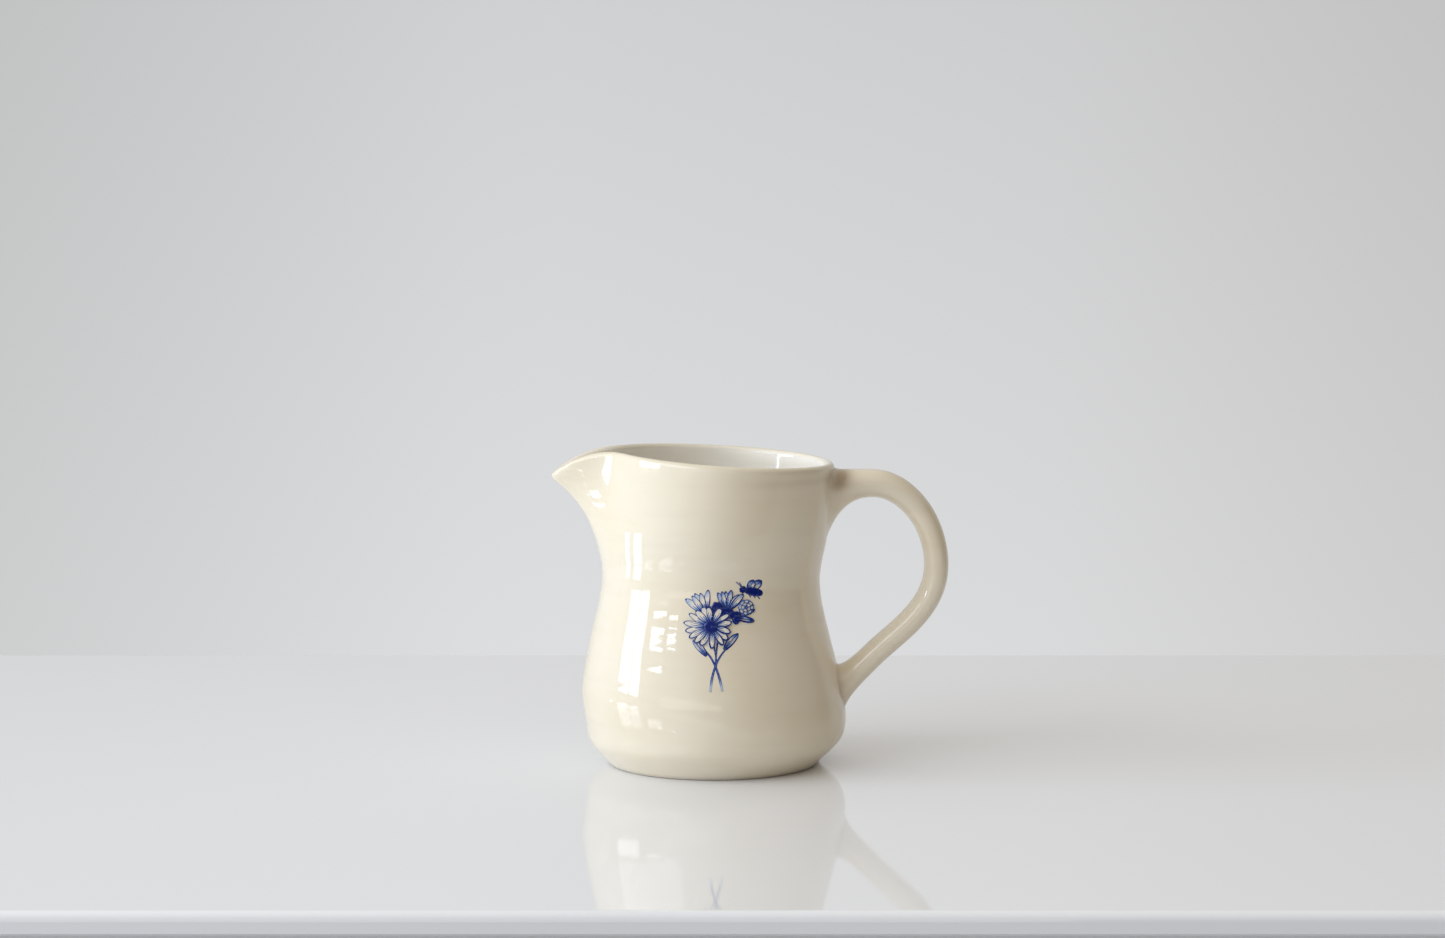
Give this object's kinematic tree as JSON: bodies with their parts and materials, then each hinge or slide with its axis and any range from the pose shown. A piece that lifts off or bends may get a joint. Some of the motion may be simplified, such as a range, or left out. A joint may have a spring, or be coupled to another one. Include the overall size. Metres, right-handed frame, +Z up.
{
  "type": "cream jug",
  "caption": "Small round-bellied jug with a narrow waist, a pinched pouring spout, an open loop handle and a flower transfer on its front.",
  "frame": {"origin": "centre of the flat foot, on the surface that the jug stands on", "axes": "+Z up, +X to the handle, -X to the spout, -Y to the side with the transfers"},
  "size_m": [0.128, 0.0836, 0.1016],
  "materials": {
    "glaze": "glossy clear glaze over cream clay",
    "cobalt_ink": "cobalt blue under a clear gloss glaze"
  },
  "bodies": {
    "root": {"jug_body": "glaze", "handle": "glaze", "upper_join_coil": "glaze", "lower_join_coil": "glaze", "bouquet_transfer": "cobalt_ink", "bee_transfer": "cobalt_ink"}
  },
  "joints": []
}
